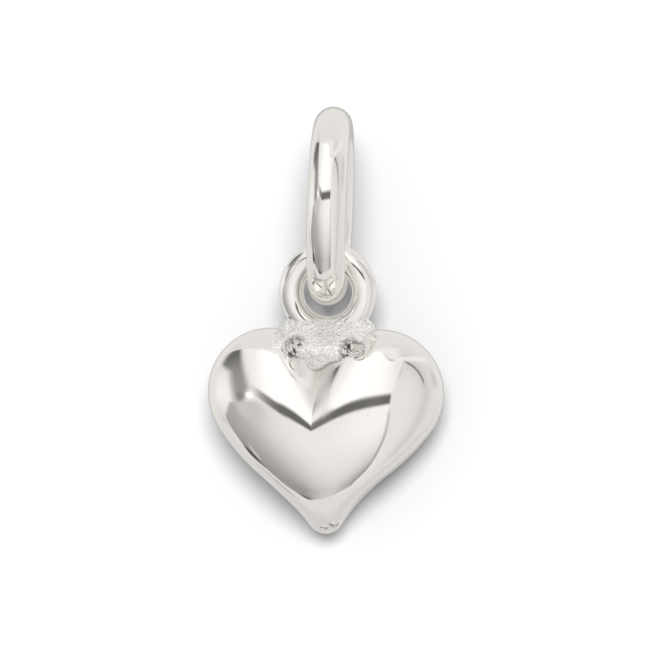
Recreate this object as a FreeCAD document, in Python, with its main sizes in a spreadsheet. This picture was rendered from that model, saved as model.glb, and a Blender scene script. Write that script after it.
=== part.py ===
import FreeCAD, Part
import math
import os

# Heart charm: a puffed heart hangs by its soldered eye from a round jump ring.
# Millimetres, +Z up. The origin is the centre of the jump ring's opening, where the charm is hung.
# The heart and its eye lie in the XZ plane, and the front of the charm looks along -Y.

os.makedirs("parts", exist_ok=True)
doc = FreeCAD.newDocument("heart_charm")
Vector = FreeCAD.Vector
Rotation = FreeCAD.Rotation

# Driving sizes, in millimetres and degrees. The solder's levels are shares: the drop is a share of the way
# from the eye's centre down to the cleft, the half width one of the eye's outer radius, and the half depth
# one of the heart's half thickness.
VALUES = [
    ("ring_outer_diameter", 5.0),
    ("ring_wire_diameter", 0.95),
    ("ring_twist", 9.5),
    ("ring_lean", 2.0),
    ("link_gap", 0.02),
    ("eye_play", 0.155),
    ("eye_wire_diameter", 0.62),
    ("eye_seat_gap", 0.059),
    ("eye_side_shift", 0.06),
    ("lobe_overlap", 0.188),
    ("lobe_height", 1.064),
    ("lobe_radius", 1.607),
    ("cheek_radius", 5.90),
    ("cheek_turn", 37.2),
    ("flank_radius", 4.92),
    ("tip_depth", 2.542),
    ("tip_radius", 0.48),
    ("crown_span", 68.0),
    ("crown_fullness", 1.015),
    ("crown_blend", 5.3),
    ("puff_half_thickness", 1.68),
    ("puff_roundness", 2.79),
    ("puff_wall_power", 2.09),
    ("puff_tip_thinning", 0.90),
    ("puff_thinning_power", 6.2),
    ("valley_deepening", 0.34),
    ("valley_reach", 0.61),
    ("valley_power", 1.8),
    ("solder_top_drop_share", 0.378),
    ("solder_top_width_share", 0.860),
    ("solder_top_depth_share", 0.20),
    ("solder_neck_drop_share", 0.523),
    ("solder_neck_width_share", 1.008),
    ("solder_neck_depth_share", 0.39),
    ("solder_belly_drop_share", 0.762),
    ("solder_belly_width_share", 0.992),
    ("solder_belly_depth_share", 0.73),
    ("solder_skirt_drop_share", 0.973),
    ("solder_skirt_width_share", 0.768),
    ("solder_skirt_depth_share", 0.78),
    ("solder_foot_drop_share", 1.157),
    ("solder_foot_width_share", 0.344),
    ("solder_foot_depth_share", 0.66),
]

sheet = doc.addObject("Spreadsheet::Sheet", "sizes")
for line, (alias, value) in enumerate(VALUES, start=1):
    sheet.set("A%d" % line, alias)
    sheet.set("B%d" % line, "%g" % value)
    sheet.setAlias("B%d" % line, alias)
doc.recompute()


def size(alias):
    return float(sheet.get(alias))


# Places that follow from the sizes. The eye's hole leaves the jump ring some play, and the eye sits
# in the cleft, the same small gap off both lobes.
ring_radius = (size("ring_outer_diameter") - size("ring_wire_diameter")) / 2.0
lean = math.radians(size("ring_lean"))
eye_hole_radius = size("ring_wire_diameter") / 2.0 + size("eye_play")
eye_outer_radius = eye_hole_radius + size("eye_wire_diameter")
lobe_offset = size("lobe_radius") - size("lobe_overlap")
eye_to_lobe = size("lobe_radius") + eye_outer_radius + size("eye_seat_gap")
eye_to_heart = size("lobe_height") + math.sqrt(eye_to_lobe ** 2 - lobe_offset ** 2)
cleft_height = size("lobe_height") + math.sqrt(size("lobe_radius") ** 2 - lobe_offset ** 2)
eye_x = -ring_radius * math.sin(lean)
eye_z = -ring_radius * math.cos(lean) + size("ring_wire_diameter") / 2.0 + size("link_gap") - eye_hole_radius
heart_x = eye_x - size("eye_side_shift")
heart_z = eye_z - eye_to_heart

# Jump ring: one round wire closed to a ring, seen nearly edge on, turned and leaning a little
jump_ring = doc.addObject("Part::Torus", "jump_ring")
jump_ring.Label = "jump_ring"
jump_ring.setExpression("Radius1", "(sizes.ring_outer_diameter - sizes.ring_wire_diameter) / 2 * 1mm")
jump_ring.setExpression("Radius2", "sizes.ring_wire_diameter / 2 * 1mm")
upright = Rotation(Vector(0, 1, 0), 90)
twisted = Rotation(Vector(0, 0, 1), size("ring_twist"))
leaning = Rotation(Vector(0, 1, 0), size("ring_lean"))
jump_ring.Placement = FreeCAD.Placement(Vector(0, 0, 0), leaning * twisted * upright)

# Eye: a smaller ring of thinner wire, in the plane of the heart
eye_ring = doc.addObject("Part::Torus", "eye_ring")
eye_ring.Label = "eye_ring"
eye_ring.setExpression("Radius1", "(sizes.ring_wire_diameter / 2 + sizes.eye_play + sizes.eye_wire_diameter / 2) * 1mm")
eye_ring.setExpression("Radius2", "sizes.eye_wire_diameter / 2 * 1mm")
facing = Rotation(Vector(1, 0, 0), 90)
eye_ring.Placement = FreeCAD.Placement(Vector(eye_x, 0, eye_z), facing)


def bearing(centre, point):
    return math.atan2(point[1] - centre[1], point[0] - centre[0])


def on_arc(centre, radius, angle):
    return (centre[0] + radius * math.cos(angle), centre[1] + radius * math.sin(angle))


# Right half of the heart's outline, from the tip up to the cleft: a tip arc, a hollow flank arc, a fuller
# cheek arc and the lobe arc, each tangent to the next. The flank's centre lies outside the heart, one
# flank radius beyond both the cheek arc and the tip arc.
MIDDLE = (0.0, 0.0)
lobe_radius = size("lobe_radius")
cheek_radius = size("cheek_radius")
flank_radius = size("flank_radius")
tip_radius = size("tip_radius")
lobe = (lobe_offset, size("lobe_height"))
cheek_turn = -math.radians(size("cheek_turn"))
cheek = on_arc(lobe, lobe_radius - cheek_radius, cheek_turn)
tip = (0.0, tip_radius - size("tip_depth"))
to_cheek = flank_radius + cheek_radius
to_tip = flank_radius + tip_radius
across = math.hypot(tip[0] - cheek[0], tip[1] - cheek[1])
along = (to_cheek ** 2 - to_tip ** 2 + across ** 2) / (2.0 * across)
aside = math.sqrt(to_cheek ** 2 - along ** 2)
way = ((tip[0] - cheek[0]) / across, (tip[1] - cheek[1]) / across)
flank = (cheek[0] + along * way[0] - aside * way[1], cheek[1] + along * way[1] + aside * way[0])
tip_turn = bearing(tip, flank)
flank_turn = bearing(cheek, flank)
cleft_turn = bearing(lobe, (0.0, cleft_height))
tip_until = bearing(MIDDLE, on_arc(tip, tip_radius, tip_turn))
flank_until = bearing(MIDDLE, on_arc(cheek, cheek_radius, flank_turn))
cheek_until = bearing(MIDDLE, on_arc(lobe, lobe_radius, cheek_turn))


def outline_points(tip_steps, flank_steps, cheek_steps, lobe_steps):
    flank_start = bearing(flank, tip) % (2.0 * math.pi)
    flank_end = bearing(flank, cheek) % (2.0 * math.pi)
    spans = [
        (tip, tip_radius, -math.pi / 2.0, tip_turn, tip_steps),
        (flank, flank_radius, flank_start, flank_end, flank_steps),
        (cheek, cheek_radius, flank_turn, cheek_turn, cheek_steps),
        (lobe, lobe_radius, cheek_turn, cleft_turn, lobe_steps),
    ]
    points = [(0.0, tip[1] - tip_radius)]
    for centre, radius, start, end, steps in spans:
        for step in range(1, steps + 1):
            points.append(on_arc(centre, radius, start + (end - start) * step / steps))
    return points


def crossing(centre, radius, angle, far):
    along_ray = centre[0] * math.cos(angle) + centre[1] * math.sin(angle)
    off_ray = centre[0] * math.sin(angle) - centre[1] * math.cos(angle)
    return along_ray + far * math.sqrt(max(0.0, radius ** 2 - off_ray ** 2))


# How far the outline lies from the middle of the heart, along a ray at the given angle. Below the tip
# the outline is its own mirror image, and past the cleft the lobe's arc goes on until a ray only grazes it.
def rim_reach(angle):
    if angle < -math.pi / 2.0:
        angle = -math.pi - angle
    if angle < tip_until:
        return crossing(tip, tip_radius, angle, 1.0)
    if angle < flank_until:
        return crossing(flank, flank_radius, angle, -1.0)
    if angle < cheek_until:
        return crossing(cheek, cheek_radius, angle, 1.0)
    return crossing(lobe, lobe_radius, angle, 1.0)


# The crown, near the middle, follows a rounder outline: the rim's reach averaged over a wide span
CROWN_RAYS = 41


def crown_reach(angle):
    total = 0.0
    weights = 0.0
    for ray in range(1, CROWN_RAYS + 1):
        place = 2.0 * ray / (CROWN_RAYS + 1.0) - 1.0
        weight = 1.0 + math.cos(math.pi * place)
        total += weight * rim_reach(angle + place * math.radians(size("crown_span")))
        weights += weight
    return size("crown_fullness") * total / weights


# Depth of the pillow at a share of the way from the middle to the rim: nearly flat at the middle and
# steep at the rim, thinner towards the tip, and sunk beside the valley that runs up to the cleft
def puff(share, x, height):
    rim = max(0.0, 1.0 - share ** size("puff_roundness"))
    fall = max(0.0, -height) / size("tip_depth")
    thinning = 1.0 - size("puff_tip_thinning") * fall ** size("puff_thinning_power")
    climb = max(0.0, height) / cleft_height
    valley = 1.0 - size("valley_deepening") * math.exp(-x / size("valley_reach")) * climb ** size("valley_power")
    return size("puff_half_thickness") * thinning * valley * rim ** (1.0 / size("puff_wall_power"))


# Points of the front along the ray that ends in the given point of the rim
def puffed_points(shares, rim_point):
    angle = math.atan2(rim_point[1], rim_point[0])
    crown = crown_reach(angle)
    rim = rim_reach(angle)
    points = []
    for share in shares:
        blend = share ** size("crown_blend")
        length = share * ((1.0 - blend) * crown + blend * rim)
        x = length * math.cos(angle)
        height = length * math.sin(angle)
        points.append(Vector(x, -puff(share, x, height), height))
    return points


# Stations along a ray, evenly spaced on the pillow's own curve between middle and rim
def stations(count):
    reach = lobe_offset + size("lobe_radius")
    fine = 4000
    walked = [0.0]
    shares = [0.0]
    for step in range(1, fine + 1):
        turn = math.pi / 2.0 * step / fine
        share = math.sin(turn)
        rise = puff(share, 0.0, 0.0) - puff(shares[-1], 0.0, 0.0)
        walked.append(walked[-1] + math.hypot(reach * (share - shares[-1]), rise))
        shares.append(share)
    chosen = []
    place = 0
    for step in range(count + 1):
        target = walked[-1] * step / count
        while place < fine and walked[place] < target:
            place += 1
        chosen.append(shares[place])
    chosen[0] = 0.0
    chosen[-1] = 1.0
    return chosen


def interpolated(points, marks):
    curve = Part.BSplineCurve()
    curve.interpolate(Points=points, Parameters=marks)
    return curve


def puffed_quarter():
    outline = outline_points(4, 6, 4, 22)
    shares = stations(16)
    marks = [step / (len(shares) - 1.0) for step in range(len(shares))]
    rays = []
    for rim_point in outline:
        rays.append(interpolated(puffed_points(shares, rim_point), marks))
    walked = [0.0]
    for one, two in zip(outline, outline[1:]):
        walked.append(walked[-1] + math.hypot(two[0] - one[0], two[1] - one[1]))
    rim_marks = [length / walked[-1] for length in walked]
    columns = []
    rim_curve = None
    for index in range(rays[0].NbPoles):
        points = [ray.getPole(index + 1) for ray in rays]
        if max(point.distanceToPoint(points[0]) for point in points) < 1e-6:
            columns.append(None)
            middle = points[0]
        else:
            rim_curve = interpolated(points, rim_marks)
            columns.append(rim_curve.getPoles())
    rows = [column if column else [middle] * rim_curve.NbPoles for column in columns]
    surface = Part.BSplineSurface()
    surface.buildFromPolesMultsKnots(
        rows, rays[0].getMultiplicities(), rim_curve.getMultiplicities(),
        rays[0].getKnots(), rim_curve.getKnots(), False, False, rays[0].Degree, rim_curve.Degree)
    return surface.toShape()


def puffed_heart():
    quarter = puffed_quarter()
    left = quarter.mirror(Vector(0, 0, 0), Vector(1, 0, 0))
    front = [quarter, left]
    back = [face.mirror(Vector(0, 0, 0), Vector(0, 1, 0)) for face in front]
    shell = Part.makeShell(front + back)
    shell.sewShape()
    solid = Part.makeSolid(shell)
    if solid.Volume < 0:
        solid.reverse()
    return solid


heart_body = doc.addObject("Part::Feature", "heart_body")
heart_body.Label = "heart_body"
heart_body.Shape = puffed_heart()
heart_body.Placement = FreeCAD.Placement(Vector(heart_x, 0, heart_z), Rotation())


# Solder: a lump that flares from the foot of the eye over both shoulders and down into the cleft
def oval(drop, half_width, half_depth):
    circle = Part.makeCircle(1.0, Vector(0, 0, 0), Vector(0, 0, 1))
    stretch = FreeCAD.Matrix()
    stretch.scale(half_width, half_depth, 1.0)
    edge = circle.transformGeometry(stretch)
    edge.translate(Vector(0, 0, -drop))
    return Part.Wire(edge.Edges)


LEVELS = ["top", "neck", "belly", "skirt", "foot"]
ovals = []
for level in LEVELS:
    drop = size("solder_%s_drop_share" % level) * (eye_to_heart - cleft_height)
    half_width = size("solder_%s_width_share" % level) * eye_outer_radius
    half_depth = size("solder_%s_depth_share" % level) * size("puff_half_thickness")
    ovals.append(oval(drop, half_width, half_depth))

solder_lump = doc.addObject("Part::Feature", "solder_lump")
solder_lump.Label = "solder_lump"
solder_lump.Shape = Part.makeLoft(ovals, True, False)
solder_lump.Placement = FreeCAD.Placement(Vector(eye_x, 0, eye_z), Rotation())

solder_on_heart = doc.addObject("Part::Cut", "solder_on_heart")
solder_on_heart.Label = "solder_on_heart"
solder_on_heart.Base = solder_lump
solder_on_heart.Tool = heart_body

solder_joint = doc.addObject("Part::Cut", "solder_joint")
solder_joint.Label = "solder_joint"
solder_joint.Base = solder_on_heart
solder_joint.Tool = eye_ring

doc.recompute()

# Every object has to be sound, and every piece one valid solid, before anything is written
for item in doc.Objects:
    if "Invalid" in item.State or "Error" in item.State:
        raise RuntimeError("%s failed: %s" % (item.Label, item.State))

for piece in [jump_ring, eye_ring, heart_body, solder_joint]:
    shape = piece.Shape
    if shape.isNull() or not shape.isValid():
        raise RuntimeError("%s has no valid shape" % piece.Label)
    if len(shape.Solids) != 1:
        raise RuntimeError("%s has %d solids" % (piece.Label, len(shape.Solids)))
    if shape.Volume <= 0:
        raise RuntimeError("%s is inside out" % piece.Label)
    box = shape.BoundBox
    print("%s %.4f mm3 x %.3f %.3f y %.3f %.3f z %.3f %.3f" % (
        piece.Label, shape.Volume, box.XMin, box.XMax, box.YMin, box.YMax, box.ZMin, box.ZMax))
    shape.exportStep("parts/%s.step" % piece.Label)
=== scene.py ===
import math
import bmesh
import bpy
from mathutils import Matrix, Vector, noise


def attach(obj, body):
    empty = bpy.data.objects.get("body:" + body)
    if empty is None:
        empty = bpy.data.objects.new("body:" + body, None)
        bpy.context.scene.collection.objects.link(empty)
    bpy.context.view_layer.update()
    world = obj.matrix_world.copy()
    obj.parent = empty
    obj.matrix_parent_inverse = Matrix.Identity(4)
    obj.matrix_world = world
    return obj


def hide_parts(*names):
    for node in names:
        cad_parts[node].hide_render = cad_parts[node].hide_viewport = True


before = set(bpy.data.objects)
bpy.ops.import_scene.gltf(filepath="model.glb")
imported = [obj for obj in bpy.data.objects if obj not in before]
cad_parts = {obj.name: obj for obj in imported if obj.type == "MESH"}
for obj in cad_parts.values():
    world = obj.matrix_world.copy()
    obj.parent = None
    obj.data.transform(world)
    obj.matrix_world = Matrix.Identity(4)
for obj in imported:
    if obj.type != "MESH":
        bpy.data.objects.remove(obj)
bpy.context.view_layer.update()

MM = 0.001

# Sizes of the charm as in part.py, in millimetres and degrees; the wires are given by their radius
RING_RADIUS = 2.025
RING_WIRE = 0.475
RING_TWIST = 9.5
RING_LEAN = 2.0
LINK_GAP = 0.02
EYE_RADIUS = 0.94
EYE_WIRE = 0.31
EYE_SEAT_GAP = 0.059
EYE_SIDE_SHIFT = 0.06
LOBE_HEIGHT = 1.064
LOBE_RADIUS = 1.607
LOBE_OVERLAP = 0.188
CHEEK_RADIUS = 5.90
CHEEK_TURN = -37.2
FLANK_RADIUS = 4.92
TIP_DEPTH = 2.542
TIP_RADIUS = 0.48
CROWN_SPAN = 68.0
CROWN_FULLNESS = 1.015
CROWN_BLEND = 5.3
CROWN_RAYS = 41
HALF_THICKNESS = 1.68
ROUNDNESS = 2.79
WALL_POWER = 2.09
TIP_THINNING = 0.90
THINNING_POWER = 6.2
VALLEY_DEEPENING = 0.34
VALLEY_REACH = 0.61
VALLEY_POWER = 1.8

# The polish has rounded the bottom of the valley, which part.py leaves sharp
VALLEY_ROUNDING = 0.09

# Levels of the solder from its top to its foot: the drop below the eye's centre as a share of the way to
# the cleft, the half width as one of the eye's outer radius, the half depth as one of the half thickness
SOLDER_SHARES = [
    (0.378, 0.860, 0.20),
    (0.523, 1.008, 0.39),
    (0.762, 0.992, 0.73),
    (0.973, 0.768, 0.78),
    (1.157, 0.344, 0.66),
]

# Beads of solder on the shoulders: place across, drop, half width, half height, thickness
BEADS = [
    (-0.66, 1.40, 0.22, 0.30, 0.10),
    (0.88, 1.40, 0.26, 0.24, 0.09),
    (-0.95, 1.22, 0.20, 0.16, 0.06),
    (0.55, 1.30, 0.20, 0.14, 0.05),
]

# Places that follow from the sizes
LOBE_OFFSET = LOBE_RADIUS - LOBE_OVERLAP
EYE_TO_LOBE = LOBE_RADIUS + EYE_RADIUS + EYE_WIRE + EYE_SEAT_GAP
EYE_TO_HEART = LOBE_HEIGHT + math.sqrt(EYE_TO_LOBE ** 2 - LOBE_OFFSET ** 2)
CLEFT_HEIGHT = LOBE_HEIGHT + math.sqrt(LOBE_RADIUS ** 2 - LOBE_OFFSET ** 2)
EYE_X = -RING_RADIUS * math.sin(math.radians(RING_LEAN))
EYE_Z = -RING_RADIUS * math.cos(math.radians(RING_LEAN)) + RING_WIRE + LINK_GAP - (EYE_RADIUS - EYE_WIRE)
HEART_X = EYE_X - EYE_SIDE_SHIFT
HEART_Z = EYE_Z - EYE_TO_HEART

# How finely the meshes are cut
RING_STEPS = 256
WIRE_STEPS = 96
TIP_STEPS = 24
FLANK_STEPS = 36
CHEEK_STEPS = 24
LOBE_STEPS = 130
HEART_STATIONS = 90
FINE_STATIONS = 20000
HALVINGS = 22
SOLDER_ROWS = 190
SOLDER_STEPS = 420

# Points of a mesh that lie closer than this, in metres, are one
WELD_DISTANCE = 1e-8

# The photo's view: the camera stands a little right of the heart and a little above it. The middle of
# the heart is at the centre pixel, counted from the top left.
VIEW_TURN = 12.6
VIEW_RISE = 4.2
MM_PER_PIXEL = 0.0253
PHOTO_PIXELS = 645
CENTRE_PIXEL = (325.5, 434.0)
LENS = 200.0
SENSOR = 36.0

# Light: the lamps in watts and metres, the share of the white room that lights matt surfaces, and what a
# mirror of the silver gives back. The tent is brighter than written by its gain, far dimmer once light
# has met a matt surface, and faintly warm.
LAMP_POWER = 1.72
LAMP_SIZE = 0.18
LAMP_DISTANCE = 0.5
LAMP_RISE = 0.24
LAMP_ASIDE = 0.01
ROOM_LIGHT = 0.42
SILVER = 0.94
TENT_GAIN = 1.25
TENT_AFTER_MATT = 0.15
TINT_RED = 1.024
TINT_BLUE = 0.978

# The white surface behind the charm, in metres: it leans, nearer to the charm at its foot
SURFACE_HALF = 0.06
SURFACE_DEPTH = 0.00284
SURFACE_LEAN = 0.20


# Meshes

def piece(name, vertices, faces, node, body):
    """A smooth piece of the charm that stands in for a node of the CAD model and rides on a body."""
    mesh = bpy.data.meshes.new(name)
    mesh.from_pydata([(x * MM, y * MM, z * MM) for x, y, z in vertices], [], faces)
    mesh.update()
    work = bmesh.new()
    work.from_mesh(mesh)
    bmesh.ops.remove_doubles(work, verts=work.verts, dist=WELD_DISTANCE)
    bmesh.ops.recalc_face_normals(work, faces=work.faces)
    work.to_mesh(mesh)
    work.free()
    mesh.polygons.foreach_set("use_smooth", [True] * len(mesh.polygons))
    thing = bpy.data.objects.new(name, mesh)
    bpy.context.scene.collection.objects.link(thing)
    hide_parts(node)
    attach(thing, body)
    return thing


def smooth(value, low, high):
    """Zero below low, one above high, and a soft step between them."""
    t = min(1.0, max(0.0, (value - low) / (high - low)))
    return t * t * (3.0 - 2.0 * t)


# Rings: the jump ring and the eye

def ring_mesh(radius, wire, place):
    """A closed ring of round wire, set in its place by a matrix."""
    vertices = []
    faces = []
    for i in range(RING_STEPS):
        around = 2 * math.pi * i / RING_STEPS
        for j in range(WIRE_STEPS):
            turn = 2 * math.pi * j / WIRE_STEPS
            reach = radius + wire * math.cos(turn)
            point = Vector((reach * math.cos(around), reach * math.sin(around), wire * math.sin(turn)))
            vertices.append(place @ point)
            a = i * WIRE_STEPS
            b = (i + 1) % RING_STEPS * WIRE_STEPS
            k = (j + 1) % WIRE_STEPS
            faces.append((a + j, b + j, b + k, a + k))
    return vertices, faces


# Heart: its outline, its crown and its depth

def arc(centre, radius, start, end, steps):
    """Points along an arc, from one angle to another."""
    return [on_arc(centre, radius, start + (end - start) * step / steps) for step in range(steps + 1)]


def bearing(centre, point):
    """The angle at which a point is seen from a centre."""
    return math.atan2(point[1] - centre[1], point[0] - centre[0])


def on_arc(centre, radius, angle):
    return (centre[0] + radius * math.cos(angle), centre[1] + radius * math.sin(angle))


def flank_centre():
    """Outside the heart, one flank radius beyond both the cheek arc and the tip arc."""
    to_cheek = FLANK_RADIUS + CHEEK_RADIUS
    to_tip = FLANK_RADIUS + TIP_RADIUS
    across = math.hypot(TIP[0] - CHEEK[0], TIP[1] - CHEEK[1])
    along = (to_cheek ** 2 - to_tip ** 2 + across ** 2) / (2.0 * across)
    aside = math.sqrt(to_cheek ** 2 - along ** 2)
    way = ((TIP[0] - CHEEK[0]) / across, (TIP[1] - CHEEK[1]) / across)
    return (CHEEK[0] + along * way[0] - aside * way[1], CHEEK[1] + along * way[1] + aside * way[0])


# Right half of the outline: a tip arc, a hollow flank arc, a cheek arc and the lobe arc, all tangent
MIDDLE = (0.0, 0.0)
LOBE = (LOBE_OFFSET, LOBE_HEIGHT)
CHEEK_START = math.radians(CHEEK_TURN)
CHEEK = on_arc(LOBE, LOBE_RADIUS - CHEEK_RADIUS, CHEEK_START)
TIP = (0.0, TIP_RADIUS - TIP_DEPTH)
FLANK = flank_centre()
TIP_TURN = bearing(TIP, FLANK)
FLANK_TURN = bearing(CHEEK, FLANK)
TIP_UNTIL = bearing(MIDDLE, on_arc(TIP, TIP_RADIUS, TIP_TURN))
FLANK_UNTIL = bearing(MIDDLE, on_arc(CHEEK, CHEEK_RADIUS, FLANK_TURN))
CHEEK_UNTIL = bearing(MIDDLE, on_arc(LOBE, LOBE_RADIUS, CHEEK_START))


def outline_points():
    """The right half of the outline, from the tip up to the cleft, as points for the mesh's rays."""
    flank_from = bearing(FLANK, TIP) % (2 * math.pi)
    flank_to = bearing(FLANK, CHEEK) % (2 * math.pi)
    cleft_turn = bearing(LOBE, (0.0, CLEFT_HEIGHT))
    points = arc(TIP, TIP_RADIUS, -math.pi / 2, TIP_TURN, TIP_STEPS)
    points += arc(FLANK, FLANK_RADIUS, flank_from, flank_to, FLANK_STEPS)[1:]
    points += arc(CHEEK, CHEEK_RADIUS, FLANK_TURN, CHEEK_START, CHEEK_STEPS)[1:]
    points += arc(LOBE, LOBE_RADIUS, CHEEK_START, cleft_turn, LOBE_STEPS)[1:]
    return points


def crossing(centre, radius, angle, far):
    """How far out a ray from the middle crosses a circle, at its far side (1) or its near side (-1)."""
    along = centre[0] * math.cos(angle) + centre[1] * math.sin(angle)
    aside = centre[0] * math.sin(angle) - centre[1] * math.cos(angle)
    return along + far * math.sqrt(max(0.0, radius ** 2 - aside ** 2))


def rim_reach(angle):
    """How far the outline lies from the middle of the heart, along a ray at the given angle."""
    if angle < -math.pi / 2:
        angle = -math.pi - angle
    if angle < TIP_UNTIL:
        return crossing(TIP, TIP_RADIUS, angle, 1)
    if angle < FLANK_UNTIL:
        return crossing(FLANK, FLANK_RADIUS, angle, -1)
    if angle < CHEEK_UNTIL:
        return crossing(CHEEK, CHEEK_RADIUS, angle, 1)
    return crossing(LOBE, LOBE_RADIUS, angle, 1)


def crown_reach(angle):
    """The crown, near the middle, follows the rim's reach averaged over a wide span."""
    total = 0.0
    weights = 0.0
    for ray in range(1, CROWN_RAYS + 1):
        place = 2.0 * ray / (CROWN_RAYS + 1.0) - 1.0
        weight = 1.0 + math.cos(math.pi * place)
        total += weight * rim_reach(angle + place * math.radians(CROWN_SPAN))
        weights += weight
    return CROWN_FULLNESS * total / weights


def puff(share, x, z):
    """Depth of the pillow at a share of the way to the rim, thin at the tip and sunk along the valley."""
    rim = max(0.0, 1.0 - share ** ROUNDNESS)
    thinning = 1.0 - TIP_THINNING * (max(0.0, -z) / TIP_DEPTH) ** THINNING_POWER
    climb = max(0.0, z) / CLEFT_HEIGHT
    near_valley = math.exp(-math.hypot(x, VALLEY_ROUNDING) / VALLEY_REACH)
    valley = 1.0 - VALLEY_DEEPENING * near_valley * climb ** VALLEY_POWER
    return HALF_THICKNESS * thinning * valley * rim ** (1.0 / WALL_POWER)


def stations():
    """Shares of the way from middle to rim, evenly spaced on the pillow's own curve."""
    reach = LOBE_OFFSET + LOBE_RADIUS
    walked = [0.0]
    shares = [0.0]
    for step in range(1, FINE_STATIONS + 1):
        share = math.sin(math.pi / 2 * step / FINE_STATIONS)
        rise = puff(share, 0.0, 0.0) - puff(shares[-1], 0.0, 0.0)
        walked.append(walked[-1] + math.hypot(reach * (share - shares[-1]), rise))
        shares.append(share)
    chosen = []
    place = 0
    for step in range(HEART_STATIONS + 1):
        while place < FINE_STATIONS and walked[place] < walked[-1] * step / HEART_STATIONS:
            place += 1
        chosen.append(shares[place])
    chosen[-1] = 1.0
    return chosen


def heart_mesh():
    """Front and back of the heart, each a fan of rays from its middle, that meet at the rim."""
    right = outline_points()
    shares = stations()
    # The right half's rays, then the same rays mirrored, from the tip round to the tip again
    rays = [(math.atan2(z, x), 1) for x, z in right]
    rays += [(math.atan2(z, x), -1) for x, z in right[-2:0:-1]]
    reaches = [(crown_reach(angle), rim_reach(angle)) for angle, hand in rays]
    around = len(rays)
    vertices = []
    faces = []
    for front in (-1, 1):
        base = len(vertices)
        vertices.append((HEART_X, front * HALF_THICKNESS, HEART_Z))
        for share in shares[1:]:
            blend = share ** CROWN_BLEND
            for (angle, hand), (crown, rim) in zip(rays, reaches):
                length = share * ((1.0 - blend) * crown + blend * rim)
                x = length * math.cos(angle)
                z = length * math.sin(angle)
                vertices.append((HEART_X + hand * x, front * puff(share, x, z), HEART_Z + z))
        for i in range(around):
            k = (i + 1) % around
            faces.append((base, base + 1 + i, base + 1 + k))
            for ring in range(len(shares) - 2):
                a = base + 1 + ring * around
                b = a + around
                faces.append((a + i, b + i, b + k, a + k))
    return vertices, faces


def heart_depth(x, z):
    """Half thickness of the heart at a place of its plane, or None beside it."""
    length = math.hypot(x, z)
    angle = math.atan2(z, abs(x))
    rim = rim_reach(angle)
    if length >= rim:
        return None
    crown = crown_reach(angle)
    low = 0.0
    high = 1.0
    for _ in range(HALVINGS):
        share = 0.5 * (low + high)
        blend = share ** CROWN_BLEND
        if share * ((1.0 - blend) * crown + blend * rim) < length:
            low = share
        else:
            high = share
    return puff(share, abs(x), z)


# Solder: a lump that flares from the foot of the eye over the shoulders and down into the cleft

SOLDER_LEVELS = [
    (drop * (EYE_TO_HEART - CLEFT_HEIGHT), width * (EYE_RADIUS + EYE_WIRE), depth * HALF_THICKNESS)
    for drop, width, depth in SOLDER_SHARES
]


def solder_section(drop):
    """Half width and half depth of the lump at a drop, on a smooth curve through its levels."""
    levels = SOLDER_LEVELS
    for index in range(len(levels) - 1):
        if drop <= levels[index + 1][0] or index == len(levels) - 2:
            break
    low = levels[index]
    high = levels[index + 1]
    before = levels[max(0, index - 1)]
    after = levels[min(len(levels) - 1, index + 2)]
    t = min(1.0, max(0.0, (drop - low[0]) / (high[0] - low[0])))
    section = []
    for axis in (1, 2):
        slope_low = (high[axis] - before[axis]) / (high[0] - before[0]) * (high[0] - low[0])
        slope_high = (after[axis] - low[axis]) / (after[0] - low[0]) * (high[0] - low[0])
        section.append((2 * t ** 3 - 3 * t ** 2 + 1) * low[axis] + (t ** 3 - 2 * t ** 2 + t) * slope_low
                       + (3 * t ** 2 - 2 * t ** 3) * high[axis] + (t ** 3 - t ** 2) * slope_high)
    return section


# The solder's own surface, in millimetres: its ragged foot, its film over the heart and its roughness
FOOT_DROP = 1.86
FOOT_RAGGED = 0.10
FOOT_WAVES_PER_MM = 3.1
FOOT_RISE_BESIDE_CLEFT = 0.26
FOOT_RISE_ON_SHOULDERS = 0.20
FOOT_THINNING = 0.17
FILM = 0.11
SUNK = 0.06
GROOVE_SHARE = 0.35
GROOVE_PLACE = 1.08
GROOVE_WIDTH = 0.22
LUMP_HEIGHT = 0.030
LUMPS_PER_MM = 3.5
GRAIN_HEIGHT = 0.010
GRAINS_PER_MM = 11.0
PIT_DEPTH_AT_EYE = 0.10
ROUGH_UNTIL = 1.25


def solder_foot(x, back_side):
    """How far below the eye's centre the solder reaches on the heart: farthest in the cleft."""
    pattern = 5.0 if back_side else 1.0
    ragged = FOOT_RAGGED * noise.noise(Vector((x * FOOT_WAVES_PER_MM, 4.0, pattern)))
    beside_cleft = FOOT_RISE_BESIDE_CLEFT * smooth(abs(x + 0.05), 0.10, 0.55)
    on_shoulders = FOOT_RISE_ON_SHOULDERS * smooth(abs(x - 0.1), 0.85, 1.25)
    return FOOT_DROP - beside_cleft - on_shoulders + ragged


def solder_film(x, drop, back_side):
    """Thickness of the solder on the heart's surface, below zero where the heart shows."""
    film = -SUNK + FILM * smooth(solder_foot(x, back_side) - drop, -0.10, 0.12)
    for place, level, wide, high, thick in BEADS:
        if back_side:
            place = -place
        away = math.hypot((x - place) / wide, (drop - level) / high)
        bead = thick * (1.0 - smooth(away, 0.25, 1.0))
        groove = GROOVE_SHARE * thick * (1.0 - smooth(abs(away - GROOVE_PLACE), 0.0, GROOVE_WIDTH))
        film += bead - groove
    return film


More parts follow.
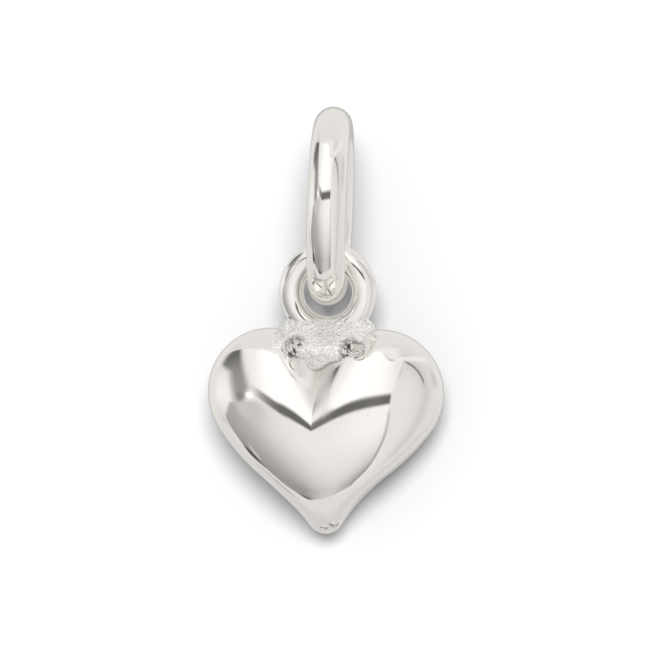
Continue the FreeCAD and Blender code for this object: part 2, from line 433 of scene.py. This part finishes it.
def solder_roughness(x, y, drop, hand):
    """How far a place stands out, from the solder's lumps and grains and its pits beside the eye."""
    point = Vector((x, hand * y, drop))
    rough = LUMP_HEIGHT * noise.noise(point * LUMPS_PER_MM)
    rough += GRAIN_HEIGHT * noise.noise(point * GRAINS_PER_MM + Vector((7, 3, 1)))
    rough *= 0.3 + 0.7 * smooth(ROUGH_UNTIL - abs(x), 0.0, 0.5)
    at_eye = 1.0 - smooth(drop, 0.75, 1.15)
    return rough - PIT_DEPTH_AT_EYE * at_eye * abs(noise.noise(Vector((x * 6.0, drop * 4.0, 9.0))))


def solder_mesh():
    """Oval rows from the top of the lump down to its foot, moved out to lie over the heart."""
    vertices = []
    faces = []
    top = SOLDER_LEVELS[0][0]
    bottom = SOLDER_LEVELS[-1][0]
    for row in range(SOLDER_ROWS + 1):
        drop = top + (bottom - top) * row / SOLDER_ROWS
        width, depth = solder_section(drop)
        depth *= 1.0 - FOOT_THINNING * smooth(drop, 1.25, FOOT_DROP)
        z = EYE_TO_HEART - drop
        for i in range(SOLDER_STEPS):
            turn = 2 * math.pi * i / SOLDER_STEPS
            x = width * math.cos(turn)
            hand = -1.0 if math.sin(turn) < 0 else 1.0
            y = depth * abs(math.sin(turn))
            under = heart_depth(x + EYE_SIDE_SHIFT, z)
            if under is not None:
                # Past its foot the lump sinks under the heart's surface, and a film of solder covers it
                sunk = smooth(drop - solder_foot(x, hand > 0), -0.02, 0.10)
                lump = y * (1.0 - sunk) + min(y, under - SUNK) * sunk
                y = max(lump, under + solder_film(x, drop, hand > 0))
            y = max(0.0, y + solder_roughness(x, y, drop, hand) * smooth(y, 0.0, 0.2))
            vertices.append((EYE_X + x, hand * y, EYE_Z - drop))
    for row in range(SOLDER_ROWS):
        a = row * SOLDER_STEPS
        b = a + SOLDER_STEPS
        for i in range(SOLDER_STEPS):
            k = (i + 1) % SOLDER_STEPS
            faces.append((a + i, b + i, b + k, a + k))
    faces.append(tuple(range(SOLDER_STEPS - 1, -1, -1)))
    faces.append(tuple(SOLDER_ROWS * SOLDER_STEPS + i for i in range(SOLDER_STEPS)))
    return vertices, faces


# Shader nodes, for the materials and for the room

def link(tree, start, end):
    tree.links.new(start, end)


def noise_node(tree, coordinates, scale, detail, rough=0.5):
    """Noise with so many lumps to the metre."""
    node = tree.nodes.new("ShaderNodeTexNoise")
    node.inputs["Scale"].default_value = scale
    node.inputs["Detail"].default_value = detail
    node.inputs["Roughness"].default_value = rough
    link(tree, coordinates, node.inputs["Vector"])
    return node.outputs["Fac"]


def ranged(tree, value, low, high, to_low, to_high, kind="LINEAR"):
    """The value moved from the range low to high into the range to_low to to_high, and held there."""
    node = tree.nodes.new("ShaderNodeMapRange")
    node.interpolation_type = kind
    node.inputs["From Min"].default_value = low
    node.inputs["From Max"].default_value = high
    node.inputs["To Min"].default_value = to_low
    node.inputs["To Max"].default_value = to_high
    link(tree, value, node.inputs["Value"])
    return node.outputs["Result"]


def computed(tree, operation, *values):
    """One step of arithmetic on numbers or on the outputs of other nodes."""
    node = tree.nodes.new("ShaderNodeMath")
    node.operation = operation
    for socket, value in zip(node.inputs, values):
        if isinstance(value, (int, float)):
            socket.default_value = value
        else:
            link(tree, value, socket)
    return node.outputs[0]


def blended(tree, factor, one, two):
    """The first colour where the factor is zero, and the second where it is one."""
    node = tree.nodes.new("ShaderNodeMix")
    node.data_type = "RGBA"
    node.clamp_factor = True
    link(tree, factor, node.inputs[0])
    for socket, colour in ((node.inputs[6], one), (node.inputs[7], two)):
        if isinstance(colour, tuple):
            socket.default_value = colour
        else:
            link(tree, colour, socket)
    return node.outputs[2]


def bumped(tree, height, strength, distance, normal=None):
    """A surface normal that follows a height, of so many metres between its zero and one."""
    node = tree.nodes.new("ShaderNodeBump")
    node.inputs["Strength"].default_value = strength
    node.inputs["Distance"].default_value = distance
    link(tree, height, node.inputs["Height"])
    if normal is not None:
        link(tree, normal, node.inputs["Normal"])
    return node.outputs["Normal"]


def around_place(tree, place, centre, inner, outer):
    """One near a place of the charm, given in millimetres, and zero away from it."""
    node = tree.nodes.new("ShaderNodeVectorMath")
    node.operation = "DISTANCE"
    node.inputs[1].default_value = [value * MM for value in centre]
    link(tree, place, node.inputs[0])
    return ranged(tree, node.outputs["Value"], inner * MM, outer * MM, 1.0, 0.0, "SMOOTHSTEP")


def new_material(name):
    """A metal to start from, with its nodes and its shader."""
    material = bpy.data.materials.new(name)
    material.use_nodes = True
    tree = material.node_tree
    tree.nodes.clear()
    out = tree.nodes.new("ShaderNodeOutputMaterial")
    shader = tree.nodes.new("ShaderNodeBsdfPrincipled")
    tree.links.new(shader.outputs["BSDF"], out.inputs["Surface"])
    shader.inputs["Metallic"].default_value = 1.0
    return material, tree, shader


# Polished silver of the rings and the heart

PALE_SILVER = (0.955, 0.945, 0.925, 1)
WARM_SILVER = (0.925, 0.912, 0.888, 1)
DARK_PIT = (0.16, 0.15, 0.14, 1)

# Noise in the silver, in lumps to the metre, and the heights of its unevenness in metres
TARNISH_SCALE = 900.0
POLISH_SCALE = 14000.0
WAVE_SCALE = 700.0
MARK_SCALE = 7600.0
WAVE_HEIGHT = 0.00001
POLISH_HEIGHT = 0.000002
MARK_HEIGHT = 0.0006

# Two rough marks at the heart's tip, in millimetres
TIP_MARK_LEFT = (HEART_X + 0.02, -0.28, HEART_Z - 2.38)
TIP_MARK_RIGHT = (HEART_X + 0.31, -0.36, HEART_Z - 2.28)

# The polish is duller in the valley under the solder, where no wheel reaches, in millimetres
DULL_MIDDLE = HEART_X + 0.14
DULL_HALF_WIDTH = (0.12, 0.44)
DULL_START = (HEART_Z + 0.35, HEART_Z + 1.2)
DULL_END = (HEART_Z + 1.8, HEART_Z + 2.1)
DULL_ROUGHNESS = 0.46


def valley_dullness(tree, place):
    """The roughness that the valley adds, with soft edges."""
    apart = tree.nodes.new("ShaderNodeSeparateXYZ")
    link(tree, place, apart.inputs[0])
    height = apart.outputs["Z"]
    aside = computed(tree, "ABSOLUTE", computed(tree, "SUBTRACT", apart.outputs["X"], DULL_MIDDLE * MM))
    narrow = ranged(tree, aside, DULL_HALF_WIDTH[0] * MM, DULL_HALF_WIDTH[1] * MM, 1.0, 0.0, "SMOOTHSTEP")
    raised = ranged(tree, height, DULL_START[0] * MM, DULL_START[1] * MM, 0.0, 1.0, "SMOOTHSTEP")
    under_eye = ranged(tree, height, DULL_END[0] * MM, DULL_END[1] * MM, 1.0, 0.0)
    valley = computed(tree, "MULTIPLY", computed(tree, "MULTIPLY", narrow, raised), under_eye)
    return computed(tree, "MULTIPLY", valley, DULL_ROUGHNESS)


def polished_silver():
    material, tree, shader = new_material("polished_silver")
    place = tree.nodes.new("ShaderNodeTexCoord").outputs["Object"]
    cloud = noise_node(tree, place, TARNISH_SCALE, 3.0)
    clean = blended(tree, cloud, PALE_SILVER, WARM_SILVER)
    fine = noise_node(tree, place, POLISH_SCALE, 5.0, 0.7)
    polish = ranged(tree, fine, 0.3, 0.7, 0.03, 0.075)
    link(tree, computed(tree, "ADD", valley_dullness(tree, place), polish), shader.inputs["Roughness"])
    wave = noise_node(tree, place, WAVE_SCALE, 2.0)
    normal = bumped(tree, wave, 0.35, WAVE_HEIGHT)
    normal = bumped(tree, fine, 0.05, POLISH_HEIGHT, normal)
    left_mark = around_place(tree, place, TIP_MARK_LEFT, 0.05, 0.15)
    right_mark = around_place(tree, place, TIP_MARK_RIGHT, 0.06, 0.19)
    marks = computed(tree, "MAXIMUM", left_mark, right_mark)
    pits = noise_node(tree, place, MARK_SCALE, 2.0, 0.6)
    normal = bumped(tree, computed(tree, "MULTIPLY", pits, marks), 1.0, MARK_HEIGHT, normal)
    link(tree, normal, shader.inputs["Normal"])
    dark = computed(tree, "MULTIPLY", marks, ranged(tree, pits, 0.46, 0.50, 1.0, 0.0))
    link(tree, blended(tree, dark, clean, DARK_PIT), shader.inputs["Base Color"])
    return material


# Frosted solder: bright and grainy, with fine pores and two dark craters

CLEAN_SOLDER = (1.0, 0.99, 0.97, 1)
CLOUDED_SOLDER = (0.99, 0.975, 0.95, 1)
PORE = (0.52, 0.50, 0.47, 1)
DARK_CRATER = (0.12, 0.11, 0.10, 1)

# Noise in the solder, in lumps to the metre, and the heights of its unevenness in metres
FACET_SCALE = 12000.0
CLOUD_SCALE = 4000.0
PORE_SCALE = 17000.0
CRATER_SCALE = 5000.0
GRAIN_SCALE = 20000.0
COARSE_SCALE = 8000.0
COARSE_RELIEF = 0.00005
GRAIN_RELIEF = 0.00003
CRATER_RELIEF = 0.00025

# How much of the solder's light is mirrored rather than matt, between facets
MIRRORED_SHARE = 0.50

# Places of the craters on the front, in millimetres
CRATER_LEFT = (EYE_X - 0.66, -0.92, EYE_Z - 1.36)
CRATER_RIGHT = (EYE_X + 0.84, -0.92, EYE_Z - 1.42)


def frosted_solder():
    material, tree, shader = new_material("frosted_solder")
    place = tree.nodes.new("ShaderNodeTexCoord").outputs["Object"]
    left_crater = around_place(tree, place, CRATER_LEFT, 0.16, 0.40)
    right_crater = around_place(tree, place, CRATER_RIGHT, 0.16, 0.42)
    craters = computed(tree, "MAXIMUM", left_crater, right_crater)
    # Facets and craters mirror the room, and the rest is half matt
    facets = ranged(tree, noise_node(tree, place, FACET_SCALE, 2.0, 0.6), 0.55, 0.62, 0.0, 1.0)
    mirroring = computed(tree, "MAXIMUM", craters, facets)
    link(tree, ranged(tree, mirroring, 0.0, 1.0, MIRRORED_SHARE, 1.0), shader.inputs["Metallic"])
    cloud = ranged(tree, noise_node(tree, place, CLOUD_SCALE, 4.0), 0.35, 0.65, 0.0, 1.0)
    clean = blended(tree, cloud, CLEAN_SOLDER, CLOUDED_SOLDER)
    pores = ranged(tree, noise_node(tree, place, PORE_SCALE, 3.0, 0.6), 0.52, 0.72, 0.0, 1.0)
    porous = blended(tree, pores, clean, PORE)
    pits = noise_node(tree, place, CRATER_SCALE, 2.0, 0.6)
    dark = computed(tree, "MULTIPLY", craters, ranged(tree, pits, 0.43, 0.49, 1.0, 0.0))
    link(tree, blended(tree, dark, porous, DARK_CRATER), shader.inputs["Base Color"])
    grain = noise_node(tree, place, GRAIN_SCALE, 2.0, 0.6)
    coarse = noise_node(tree, place, COARSE_SCALE, 3.0)
    link(tree, ranged(tree, grain, 0.3, 0.7, 0.08, 0.20), shader.inputs["Roughness"])
    normal = bumped(tree, coarse, 0.8, COARSE_RELIEF)
    normal = bumped(tree, grain, 1.0, GRAIN_RELIEF, normal)
    normal = bumped(tree, computed(tree, "MULTIPLY", pits, craters), 1.0, CRATER_RELIEF, normal)
    link(tree, normal, shader.inputs["Normal"])
    return material


# The four pieces: the jump ring stands upright, turned and leaning a little, and the eye faces the front

upright = Matrix.Rotation(math.radians(90), 4, "Y")
twisted = Matrix.Rotation(math.radians(RING_TWIST), 4, "Z")
leaning = Matrix.Rotation(math.radians(RING_LEAN), 4, "Y")
facing = Matrix.Translation((EYE_X, 0, EYE_Z)) @ Matrix.Rotation(math.radians(90), 4, "X")

silver = polished_silver()
solder = frosted_solder()
ring_shape = ring_mesh(RING_RADIUS, RING_WIRE, leaning @ twisted @ upright)
jump_ring = piece("jump_ring_surface", *ring_shape, "jump_ring", "ring")
eye_ring = piece("eye_ring_surface", *ring_mesh(EYE_RADIUS, EYE_WIRE, facing), "eye_ring", "charm")
heart = piece("heart_surface", *heart_mesh(), "heart_body", "charm")
solder_lump = piece("solder_surface", *solder_mesh(), "solder_joint", "charm")
for thing, material, slot in (
        (jump_ring, silver, "polished_silver"),
        (eye_ring, silver, "polished_silver"),
        (heart, silver, "polished_silver"),
        (solder_lump, solder, "solder")):
    thing.data.materials.append(material)

# The silver beside the solder doesn't mirror it: its underside would show there as a dark shape
solder_lump.visible_glossy = False


# Camera

turn = math.radians(VIEW_TURN)
rise = math.radians(VIEW_RISE)
back = Vector((math.sin(turn) * math.cos(rise), -math.cos(turn) * math.cos(rise), math.sin(rise)))
side = Vector((math.cos(turn), math.sin(turn), 0.0))
up = back.cross(side)
camera_data = bpy.data.cameras.new("camera")
camera_data.lens = LENS
camera_data.sensor_width = SENSOR
camera_data.clip_start = 0.001
camera_data.clip_end = 10.0
camera = bpy.data.objects.new("camera", camera_data)
bpy.context.scene.collection.objects.link(camera)
distance = PHOTO_PIXELS * MM_PER_PIXEL * LENS / SENSOR
offset_right = (PHOTO_PIXELS / 2 - CENTRE_PIXEL[0]) * MM_PER_PIXEL
offset_up = (CENTRE_PIXEL[1] - PHOTO_PIXELS / 2) * MM_PER_PIXEL
aim = Vector((HEART_X, 0.0, HEART_Z)) + side * offset_right + up * offset_up
camera_place = aim + back * distance
look = Matrix((side, up, back)).transposed().to_4x4()
camera.matrix_world = Matrix.Translation(camera_place * MM) @ look
bpy.context.scene.camera = camera


# The room that the silver mirrors: a white tent round the charm, with darker gaps between its panels. It
# has fixed places in the world. A direction is placed by (u, v), how far a mirror that shows it to the
# photo's camera is turned to the right and upwards, as the tangent of that turn.

# The curve by which a picture turns strength to tone
CURVE_OFFSET = 0.055
CURVE_POWER = 2.4

# Main edges of the tent: places u across and v upwards, and how much the sloping ones lean
ROOF_EDGE = 0.745
ROOF_SLOPE = 0.2
STRIP_SLOPE = 0.35
STRIP_PIVOT = 0.24
STRIP_LEFT = -0.88
STRIP_RIGHT = -0.53
STRIP_FOOT = 0.035
LOWER_LEFT = -0.97
LOWER_RIGHT = 0.190
LOWER_TOP = 0.080
LOWER_REACH = 0.885
UPPER_RIGHT = 0.205
UPPER_FOOT = 0.12
GAP_LEFT = -0.46
GAP_RIGHT = 0.190
GAP_FOOT = 0.048
GAP_TOP = 0.134
RINGS_MIDDLE = 0.2
RINGS_LEFT = 0.195

# Keeps the places u and v finite where a direction points away from their middle
LEAST_SPREAD = 0.02


def linear(tone):
    """The strength that shows as the given tone, from 0 to 255, in a mirror of this silver."""
    share = tone / 255.0
    return ((share + CURVE_OFFSET) / (1.0 + CURVE_OFFSET)) ** CURVE_POWER / (SILVER * TENT_GAIN)


def grey(tone):
    """A faintly warm grey."""
    value = linear(tone)
    return (value * TINT_RED, value, value * TINT_BLUE, 1.0)


world = bpy.data.worlds.new("tent")
bpy.context.scene.world = world
world.use_nodes = True
room = world.node_tree
room.nodes.clear()
direction = room.nodes.new("ShaderNodeTexCoord").outputs["Generated"]


def along_axis(axis):
    """How far the direction that a ray takes points along an axis of the world."""
    node = room.nodes.new("ShaderNodeVectorMath")
    node.operation = "DOT_PRODUCT"
    node.inputs[1].default_value = axis
    link(room, direction, node.inputs[0])
    return node.outputs["Value"]


def plus(a, b):
    return computed(room, "ADD", a, b)


def minus(a, b):
    return computed(room, "SUBTRACT", a, b)


def times(a, b):
    return computed(room, "MULTIPLY", a, b)


def length(a, b):
    return computed(room, "SQRT", plus(times(a, a), times(b, b)))


def clamped(value, low, high):
    return ranged(room, value, low, high, low, high)


def step_up(value, edge, soft):
    """Zero below the edge and one above it."""
    return ranged(room, value, edge - soft, edge + soft, 0.0, 1.0, "SMOOTHSTEP")


def step_down(value, edge, soft):
    """One below the edge and zero above it."""
    return ranged(room, value, edge - soft, edge + soft, 1.0, 0.0, "SMOOTHSTEP")


def both(*masks):
    """One only where all the masks are."""
    shared = masks[0]
    for mask in masks[1:]:
        shared = times(shared, mask)
    return shared


def band(value, low, high, soft):
    """One between two edges."""
    return times(step_up(value, low, soft), step_down(value, high, soft))


def patch(u, v, radius_u, radius_v):
    """A soft oval round the place (u, v)."""
    du = times(minus(across_u, u), 1.0 / radius_u)
    dv = times(minus(height_v, v), 1.0 / radius_v)
    return ranged(room, plus(times(du, du), times(dv, dv)), 0.0, 1.0, 1.0, 0.0, "SMOOTHSTEP")


def shades(value, low, high, stops):
    """Grey tones along a value: a colour ramp between low and high with (place, tone) stops."""
    node = room.nodes.new("ShaderNodeValToRGB")
    node.color_ramp.interpolation = "B_SPLINE" if len(stops) > 3 else "EASE"
    link(room, ranged(room, value, low, high, 0.0, 1.0), node.inputs["Fac"])
    elements = node.color_ramp.elements
    while len(elements) < len(stops):
        elements.new(0.5)
    for element, (place, tone) in zip(elements, stops):
        element.position = (place - low) / (high - low)
        element.color = grey(tone)
    return node.outputs["Color"]


def layered(under, mask, tone):
    """A tone, or shades, over what lies under it, where the mask is one."""
    over = grey(tone) if isinstance(tone, (int, float)) else tone
    return blended(room, mask, under, over)


to_right = along_axis(side)
to_top = along_axis(up)
to_front = along_axis(back)
spread = computed(room, "MAXIMUM", plus(to_front, 1.0), LEAST_SPREAD)
across_u = computed(room, "DIVIDE", to_right, spread)
height_v = computed(room, "DIVIDE", to_top, spread)
reach_w = length(across_u, height_v)
below = computed(room, "MINIMUM", height_v, 0.0)
above = computed(room, "MAXIMUM", height_v, 0.0)

# The strip and the left edge of the upper panel lean to the left, and both share one sloping roof
strip_u = plus(across_u, times(minus(height_v, STRIP_PIVOT), STRIP_SLOPE))
roof = plus(height_v, times(across_u, ROOF_SLOPE))


def right_side(tent):
    """Soft rings round the right edge of the upper panel, paler above, with a dark line at the corner."""
    ring_w = length(minus(across_u, RINGS_MIDDLE), above)
    ring_tone = shades(ring_w, 0.0, 0.9, [
        (0.0, 228), (0.12, 228), (0.28, 225), (0.40, 219),
        (0.50, 209), (0.60, 203), (0.70, 215), (0.9, 220)])
    right = both(step_up(across_u, RINGS_LEFT, 0.015), step_up(height_v, -0.95, 0.1))
    tent = layered(tent, both(right, step_down(ring_w, 0.95, 0.1)), ring_tone)
    far_right = both(step_up(across_u, 1.05, 0.15), band(height_v, 0.18, 0.55, 0.12))
    tent = layered(tent, far_right, 203)
    wall_floor = step_up(plus(height_v, times(across_u, -0.3)), 0.40, 0.03)
    wall_roof = step_down(plus(height_v, times(across_u, -0.38)), 0.48, 0.02)
    valley_wall = both(wall_floor, band(across_u, 0.14, 1.15, 0.05), wall_roof)
    wall_tone = shades(across_u, 0.15, 1.0, [(0.15, 244), (0.30, 240), (0.42, 230), (0.6, 234), (1.0, 236)])
    tent = layered(tent, valley_wall, wall_tone)
    tent = layered(tent, patch(0.26, 0.45, 0.14, 0.09), 232)
    corner_ring = band(ring_w, 0.52, 0.568, 0.018)
    corner = both(corner_ring, band(across_u, 0.36, 0.74, 0.06), step_up(height_v, 0.20, 0.08))
    return layered(tent, corner, 132)


def left_side(tent):
    """A bright patch that dims upwards, with a dark soft strip that widens upwards."""
    patch_tone = shades(height_v, -0.5, 1.05, [
        (-0.5, 200), (-0.3, 208), (-0.1, 234), (0.1, 243),
        (0.3, 236), (0.5, 226), (0.75, 205), (1.05, 212)])
    patch_edge = step_down(plus(across_u, times(below, -0.9)), -0.86, 0.10)
    bright = both(patch_edge, step_up(across_u, -2.4, 0.4), band(height_v, -0.45, 1.1, 0.12))
    tent = layered(tent, bright, patch_tone)
    outer_ring = band(reach_w, 1.60, 1.76, 0.05)
    outer_line = both(outer_ring, step_down(across_u, -1.0, 0.1), step_up(height_v, 0.95, 0.1))
    tent = layered(tent, outer_line, 190)
    widened = plus(strip_u, times(clamped(minus(height_v, 0.42), 0.0, 0.6), 1.5))
    narrowed = plus(strip_u, times(clamped(minus(0.22, height_v), 0.0, 0.2), 1.2))
    strip_sides = both(step_up(widened, STRIP_LEFT, 0.15), step_down(narrowed, STRIP_RIGHT, 0.09))
    strip = both(strip_sides, step_up(height_v, STRIP_FOOT, 0.04), step_down(roof, ROOF_EDGE, 0.02))
    strip_tone = shades(height_v, 0.05, 0.85, [
        (0.05, 165), (0.15, 150), (0.30, 150), (0.45, 143), (0.60, 122), (0.75, 106), (0.85, 104)])
    return layered(tent, strip, strip_tone)


def lower_panel(tent):
    """Bright at its middle and top right, dimmer to the left and towards its dark lower edge."""
    edge_right = plus(across_u, times(height_v, 0.20))
    edge_left = plus(across_u, times(height_v, -1.1))
    edge_low = plus(reach_w, times(computed(room, "MINIMUM", across_u, 0.0), 0.30))
    soft_top = plus(height_v, times(clamped(minus(-0.5, across_u), 0.0, 0.4), 0.12))
    panel = both(step_down(soft_top, LOWER_TOP, 0.022), step_up(edge_left, LOWER_LEFT, 0.07),
                 step_down(edge_right, LOWER_RIGHT, 0.010), step_down(edge_low, LOWER_REACH, 0.035))
    tone_high = shades(across_u, -1.0, 0.2, [
        (-1.0, 168), (-0.75, 176), (-0.6, 184), (-0.45, 203),
        (-0.3, 226), (-0.15, 238), (0.0, 244), (0.2, 245)])
    tone_low = shades(across_u, -1.0, 0.3, [
        (-1.0, 140), (-0.75, 155), (-0.5, 146), (-0.35, 153),
        (-0.2, 182), (0.0, 206), (0.15, 198), (0.3, 165)])
    fall = ranged(room, height_v, -0.10, -0.66, 0.0, 1.0)
    tent = layered(tent, panel, blended(room, fall, tone_high, tone_low))
    under_glint = both(patch(-0.62, 0.02, 0.26, 0.13), panel)
    tent = layered(tent, under_glint, 199)
    right_line = both(band(edge_right, 0.178, 0.208, 0.012), step_down(height_v, -0.02, 0.03),
                      step_up(height_v, -0.85, 0.05))
    line_tone = shades(height_v, -0.8, 0.0, [(-0.8, 135), (-0.45, 158), (0.0, 200)])
    tent = layered(tent, right_line, line_tone)
    tent = layered(tent, patch(-0.95, -0.66, 0.17, 0.15), 80)
    tent = layered(tent, patch(-0.80, -0.52, 0.07, 0.13), 197)
    low_ring = band(edge_low, 0.86, 0.93, 0.025)
    low_line = both(low_ring, band(across_u, -0.55, -0.28, 0.08), step_down(height_v, -0.6, 0.1))
    tent = layered(tent, low_line, 88)
    left_ring = band(reach_w, 1.32, 1.52, 0.05)
    left_line = both(left_ring, band(across_u, -1.1, -0.75, 0.1), step_down(height_v, -0.9, 0.1))
    return layered(tent, left_line, 180)


def upper_panel(tent):
    """White, with a soft left edge over the strip and a roof that is lower on the right."""
    low_roof = plus(roof, times(step_up(across_u, 0.07, 0.08), 0.17))
    wide_right = plus(across_u, times(clamped(minus(height_v, 0.16), 0.0, 0.5), -0.38))
    above_roof = step_up(low_roof, ROOF_EDGE, 0.02)
    over_roof = both(above_roof, band(across_u, -0.35, 0.30, 0.08), step_down(height_v, 0.85, 0.04))
    tent = layered(tent, over_roof, 234)
    panel_tone = shades(across_u, -0.6, 0.28, [
        (-0.6, 236), (-0.45, 240), (-0.35, 252), (-0.2, 266),
        (0.0, 258), (0.12, 251), (0.2, 240), (0.28, 228)])
    soft_left = ranged(room, strip_u, -0.65, -0.385, 0.0, 1.0, "SMOOTHSTEP")
    panel = both(step_up(height_v, UPPER_FOOT, 0.02), soft_left, step_down(wide_right, UPPER_RIGHT, 0.025),
                 step_down(low_roof, ROOF_EDGE, 0.02))
    tent = layered(tent, panel, panel_tone)
    right_line = both(band(wide_right, 0.200, 0.228, 0.014), band(height_v, 0.27, 0.52, 0.06))
    tent = layered(tent, right_line, 206)
    roof_line = both(band(low_roof, 0.728, 0.762, 0.015), band(across_u, 0.02, 0.20, 0.04))
    return layered(tent, roof_line, shades(across_u, 0.0, 0.24, [(0.0, 226), (0.24, 180)]))


def dark_gap(tent):
    """The gap between the two panels, bent up at its left, with a dark blot and a bright end."""
    bend = times(computed(room, "MAXIMUM", minus(-0.26, across_u), 0.0), 0.45)
    gap_v = minus(height_v, bend)
    gap = both(step_up(gap_v, GAP_FOOT, 0.016), step_down(gap_v, GAP_TOP, 0.026),
               step_up(across_u, GAP_LEFT, 0.07), step_down(across_u, GAP_RIGHT, 0.012))
    gap_tone = shades(across_u, -0.5, 0.2, [
        (-0.5, 190), (-0.42, 172), (-0.34, 136), (-0.25, 98), (-0.1, 104), (0.05, 118), (0.2, 92)])
    tent = layered(tent, gap, gap_tone)
    tent = layered(tent, patch(-0.69, 0.12, 0.10, 0.06), 136)
    return layered(tent, patch(-0.54, 0.138, 0.075, 0.045), 262)


def far_side(tent):
    """Behind the charm, seen at its very edges: much like the rest, with a small darker middle."""
    away = computed(room, "MAXIMUM", minus(1.0, to_front), LEAST_SPREAD)
    back_v = computed(room, "DIVIDE", to_top, away)
    back_u = computed(room, "DIVIDE", to_right, away)
    back_w = length(back_u, back_v)
    far_tone = blended(room, step_up(back_v, -0.2, 0.3), grey(207), grey(226))
    tent = layered(tent, step_down(back_w, 0.62, 0.12), far_tone)
    return layered(tent, step_down(back_w, 0.22, 0.10), 186)


tent = shades(height_v, -1.2, 1.2, [(-1.2, 220), (-0.6, 220), (0.4, 224), (1.2, 224)])
tent = right_side(tent)
tent = left_side(tent)
tent = lower_panel(tent)
tent = upper_panel(tent)
tent = dark_gap(tent)
tent = far_side(tent)

# Mirrors show the tent. The charm sends little of it on to the surface behind, which keeps its shadow.
rays = room.nodes.new("ShaderNodeLightPath")
shown = room.nodes.new("ShaderNodeBackground")
tent_strength = ranged(room, rays.outputs["Diffuse Depth"], 0.0, 1.0, TENT_GAIN, TENT_AFTER_MATT)
link(room, tent, shown.inputs["Color"])
link(room, tent_strength, shown.inputs["Strength"])

# Seen straight on the room is plain white, and matt surfaces get less of it
plain = room.nodes.new("ShaderNodeBackground")
plain.inputs["Color"].default_value = (1.0, 1.0, 1.0, 1.0)
plain_strength = ranged(room, rays.outputs["Is Camera Ray"], 0.0, 1.0, ROOM_LIGHT, 1.0)
link(room, plain_strength, plain.inputs["Strength"])
chosen_room = room.nodes.new("ShaderNodeMixShader")
link(room, rays.outputs["Is Glossy Ray"], chosen_room.inputs[0])
link(room, plain.outputs[0], chosen_room.inputs[1])
link(room, shown.outputs[0], chosen_room.inputs[2])
world_out = room.nodes.new("ShaderNodeOutputWorld")
link(room, chosen_room.outputs[0], world_out.inputs["Surface"])


# Lamps, one for the front and one for the back, both from above

def soft_lamp(name, way):
    """A round lamp that shines on the charm from the given way."""
    data = bpy.data.lights.new(name, "AREA")
    data.shape = "DISK"
    data.size = LAMP_SIZE
    data.energy = LAMP_POWER
    lamp = bpy.data.objects.new(name, data)
    bpy.context.scene.collection.objects.link(lamp)
    lamp.visible_glossy = False
    place = way.normalized() * LAMP_DISTANCE
    shining_back = place.to_track_quat("Z", "Y").to_matrix().to_4x4()
    lamp.matrix_world = Matrix.Translation(aim * MM + place) @ shining_back


soft_lamp("soft_lamp", back - side * LAMP_ASIDE + up * LAMP_RISE)
soft_lamp("back_lamp", up * LAMP_RISE - back)


# White surface close behind the charm, which takes its soft shadow and can't be seen from behind

foot_depth = SURFACE_DEPTH - SURFACE_LEAN * SURFACE_HALF
top_depth = SURFACE_DEPTH + SURFACE_LEAN * SURFACE_HALF
surface_mesh = bpy.data.meshes.new("white_surface")
surface_mesh.from_pydata([
    (-SURFACE_HALF, foot_depth, -SURFACE_HALF),
    (SURFACE_HALF, foot_depth, -SURFACE_HALF),
    (SURFACE_HALF, top_depth, SURFACE_HALF),
    (-SURFACE_HALF, top_depth, SURFACE_HALF)], [], [(0, 1, 2, 3)])
surface = bpy.data.objects.new("white_surface", surface_mesh)
bpy.context.scene.collection.objects.link(surface)
surface.visible_glossy = False
surface.visible_diffuse = False
surface_material = bpy.data.materials.new("white_surface")
surface_material.use_nodes = True
surface_tree = surface_material.node_tree
surface_tree.nodes.clear()
paper = surface_tree.nodes.new("ShaderNodeBsdfDiffuse")
paper.inputs["Color"].default_value = (1.0, 1.0, 1.0, 1.0)
clear = surface_tree.nodes.new("ShaderNodeBsdfTransparent")
geometry = surface_tree.nodes.new("ShaderNodeNewGeometry")
one_sided = surface_tree.nodes.new("ShaderNodeMixShader")
link(surface_tree, geometry.outputs["Backfacing"], one_sided.inputs[0])
link(surface_tree, paper.outputs[0], one_sided.inputs[1])
link(surface_tree, clear.outputs[0], one_sided.inputs[2])
surface_out = surface_tree.nodes.new("ShaderNodeOutputMaterial")
link(surface_tree, one_sided.outputs[0], surface_out.inputs["Surface"])
surface_mesh.materials.append(surface_material)

bpy.context.scene.view_settings.view_transform = "Standard"
